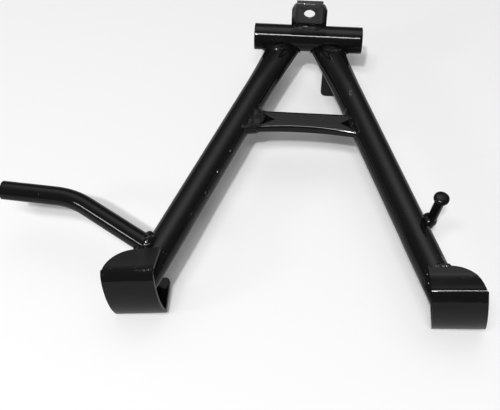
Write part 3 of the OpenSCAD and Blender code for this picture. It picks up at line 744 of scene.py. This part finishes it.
def seam_tacks():
    """Four lumps on the left leg's seam: spheres flattened and pushed about a little."""
    first, pitch, count, size = TACKS
    polar = np.linspace(0.02, np.pi - 0.02, 22)[:, None]
    round_ = np.linspace(0, 2 * np.pi, 32, endpoint=False)[None, :]
    made = []
    for k in range(count):
        bump = 1 + 0.10 * wobble(round_ / TURN, 70 + k, 3) * np.sin(polar)
        r = size / 2 * bump
        angle = math.radians(SEAM_ANGLE + 7)
        s = first + k * pitch + 1.15 * r * np.cos(polar)
        across = 1.1 * r * np.sin(polar) * np.cos(round_)
        up = 0.85 * r * np.sin(polar) * np.sin(round_) + LEG_R - 0.9
        u = -(up * math.sin(angle) + across * math.cos(angle))
        h = up * math.cos(angle) - across * math.sin(angle)
        made.append(skin(on_leg(u, h, s, -1)))
    return several(made)


def pin_weld():
    """A lump between the pin's shank and the leg."""
    polar = np.linspace(0.02, np.pi - 0.02, 30)[:, None]
    round_ = np.linspace(0, 2 * np.pi, 48, endpoint=False)[None, :]
    r = 1 + 0.09 * wobble(round_ / TURN, 81, 4) * np.sin(polar)
    r = r + 0.05 * wobble(polar / 3.14, 82, 5)
    x = 6.6 * r * np.sin(polar) * np.cos(round_) - 1.8
    y = 6.4 * r * np.sin(polar) * np.sin(round_)
    z = 6.2 * r * np.cos(polar) + 0.6
    return skin(at_pin(np.stack([x, y, z + 0 * round_], -1)))


def foot_weld(side):
    """The run along the rear edge of a foot's top leaf."""
    x = np.linspace(-FOOT_W / 2 - 1.5, -FOOT_W / 2 + 15.5, 90)
    path = on_foot(x, 0 * x + TOP_LEAF + 0.4, 0 * x - 1.6, side)
    along = on_foot(x, 0 * x + TOP_LEAF + 1.4, 0 * x - 1.6, side) - path
    return bead(path, along, 0 * x + 2.0, 0 * x + 1.7, 91 if side > 0 else 95, sink=0.5)


# The two welds without a piece of their own keep their CAD node, with the plain paint

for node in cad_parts.values():
    node.data.materials.clear()
    node.data.materials.append(PAINT)

piece("pivot_tube_skin", pivot_tube(), "pivot_tube", sharp=60)
piece("right_leg_skin", leg(1), "right_leg", sharp=50)
piece("left_leg_skin", leg(-1), "left_leg", sharp=50)
piece("right_foot_plate", foot(1), "right_foot", thick=FOOT_T, edge=0.7)
piece("left_foot_plate", foot(-1), "left_foot", thick=FOOT_T, edge=0.7)
piece("kick_lever_bar", lever(), "kick_lever", sharp=60)
piece("spring_pin_stud", spring_pin(), "spring_pin", sharp=60)
piece("cross_brace_channel", brace(), "cross_brace", thick=BRACE_T, edge=0.6)
softened_copy("pivot_bracket", "pivot_bracket_sheet", 0.5)
softened_copy("rest_tab", "rest_tab_plate", 0.6)
piece("right_pivot_run", pivot_weld(1), "right_pivot_weld", "painted_weld")
piece("left_pivot_run", pivot_weld(-1), "left_pivot_weld", "painted_weld")
piece("right_brace_run", brace_weld(1), "right_brace_weld", "painted_weld")
piece("left_brace_run", brace_weld(-1), "left_brace_weld", "painted_weld")
piece("lever_run", lever_weld(), "lever_weld", "painted_weld")
piece("seam_tack_lumps", seam_tacks(), "seam_tacks", "painted_weld")
piece("pin_lump", pin_weld(), "pin_weld", "painted_weld")
piece("right_foot_run", foot_weld(1), "right_foot_weld", "painted_weld")
piece("left_foot_run", foot_weld(-1), "left_foot_weld", "painted_weld")

floor_z = cad_box[0][2]
floor_mesh = bpy.data.meshes.new("floor")
floor_mesh.from_pydata([(x * FLOOR_HALF, y * FLOOR_HALF, floor_z)
                        for x, y in ((-1, -1), (1, -1), (1, 1), (-1, 1))], [], [(0, 1, 2, 3)])
floor_mesh.materials.append(pale_floor())
floor = bpy.data.objects.new("floor", floor_mesh)
bpy.context.scene.collection.objects.link(floor)


def area_light(name, at, to, size, power):
    """A rectangular lamp of a size in metres and a power in watts that looks at a point."""
    lamp = bpy.data.lights.new(name, "AREA")
    lamp.shape = "RECTANGLE"
    lamp.size, lamp.size_y = size
    lamp.energy = power
    light = bpy.data.objects.new(name, lamp)
    light.location = at
    light.rotation_euler = (Vector(to) - Vector(at)).to_track_quat("-Z", "Y").to_euler()
    bpy.context.scene.collection.objects.link(light)


# The strip makes the long highlights, the small key the shadows' edges
area_light("strip", (-0.37, -1.4, 2.86), (0.0, -0.1, 0.0), (1.55, 0.34), 42.0)
area_light("key", (-0.45, -1.87, 2.86), (0.0, -0.1, 0.0), (0.16, 0.16), 48.0)
area_light("window", (-1.62, -0.95, 0.9), (-0.1, -0.2, 0.0), (0.25, 0.25), 3.0)


def studio():
    """A dim room with a broad soft glow overhead: a bell exp(-x^2 / 0.2 - (y - 0.4)^2 / 0.14) of
    the direction (x, y, z), in the upper half only and fading out towards the far side."""
    g = Graph(bpy.data.worlds.new("studio"))
    across, away, up = g.axes(g.node("ShaderNodeTexCoord", output="Generated"))
    far_off = across * across / 0.2 + (away - 0.4) * (away - 0.4) / 0.14
    fade = (1.0 - (away - 0.67) * 5.5).clamp()
    level = 0.07 + 1.15 * (-far_off).exp() * (up > 0.0) * fade
    glow = g.node("ShaderNodeBackground", None, Color=(1.0, 1.0, 1.0, 1.0), Strength=level)
    bpy.context.scene.world = g.finish(glow, "ShaderNodeOutputWorld")


studio()
bpy.context.scene.view_settings.view_transform = "Standard"

camera_data = bpy.data.cameras.new("camera")
camera_data.sensor_fit = "HORIZONTAL"
camera_data.sensor_width = SENSOR_MM
camera_data.lens = FOCAL_PX / PHOTO_SIZE[0] * SENSOR_MM
camera = bpy.data.objects.new("camera", camera_data)
back = -CAMERA_FORWARD.normalized()
up = CAMERA_UP.normalized()
right = up.cross(back).normalized()
camera.matrix_world = Matrix.Translation(CAMERA_AT) @ Matrix(
    (right, back.cross(right), back)).transposed().to_4x4()
bpy.context.scene.collection.objects.link(camera)
bpy.context.scene.camera = camera
